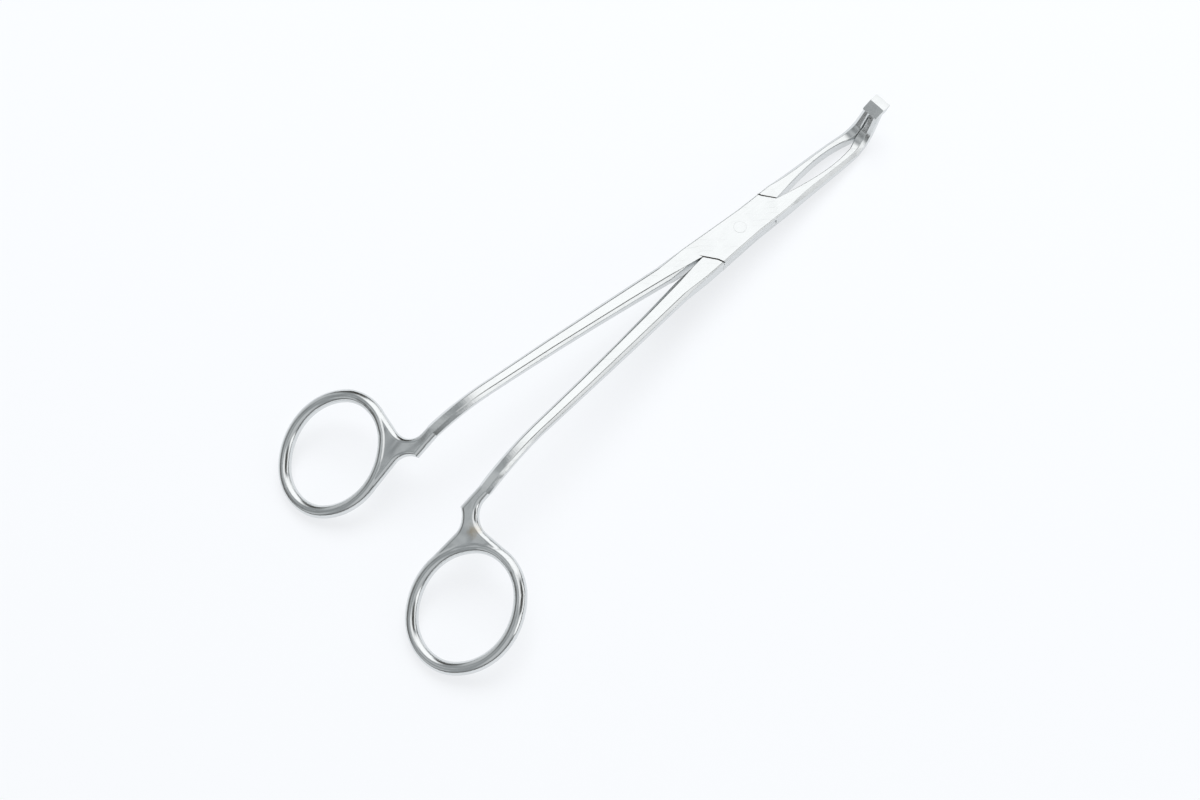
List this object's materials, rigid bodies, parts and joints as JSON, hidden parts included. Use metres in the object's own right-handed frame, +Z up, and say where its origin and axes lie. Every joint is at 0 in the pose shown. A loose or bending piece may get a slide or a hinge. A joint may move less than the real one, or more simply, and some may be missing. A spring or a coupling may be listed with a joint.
{
  "type": "tonsil forceps",
  "caption": "Long slender ring-handled tonsil forceps with a box lock, shanks that bend down to the finger rings, bowed jaws and an upturned toothed tip.",
  "frame": {"origin": "centre of the part's bounding box, on the surface it rests on", "axes": "+X along the middle line towards the upturned tips, +Y towards the box half's finger ring, +Z up from the table"},
  "size_m": [0.181, 0.0824, 0.0192],
  "materials": {
    "box_half": "satin",
    "tongue_half": "satin",
    "lock_pin": "satin"
  },
  "bodies": {
    "box_side": {"box_half": "box_half", "lock_pin": "lock_pin"},
    "tongue_side": {"tongue_half": "tongue_half"}
  },
  "joints": [
    {"name": "lock_pivot", "type": "hinge", "parent": "box_side", "child": "tongue_side", "pos_m": [0.03975, 0, 0.00715], "axis": [0.128, 0, 0.9918], "range_deg": [0, 35]}
  ]
}
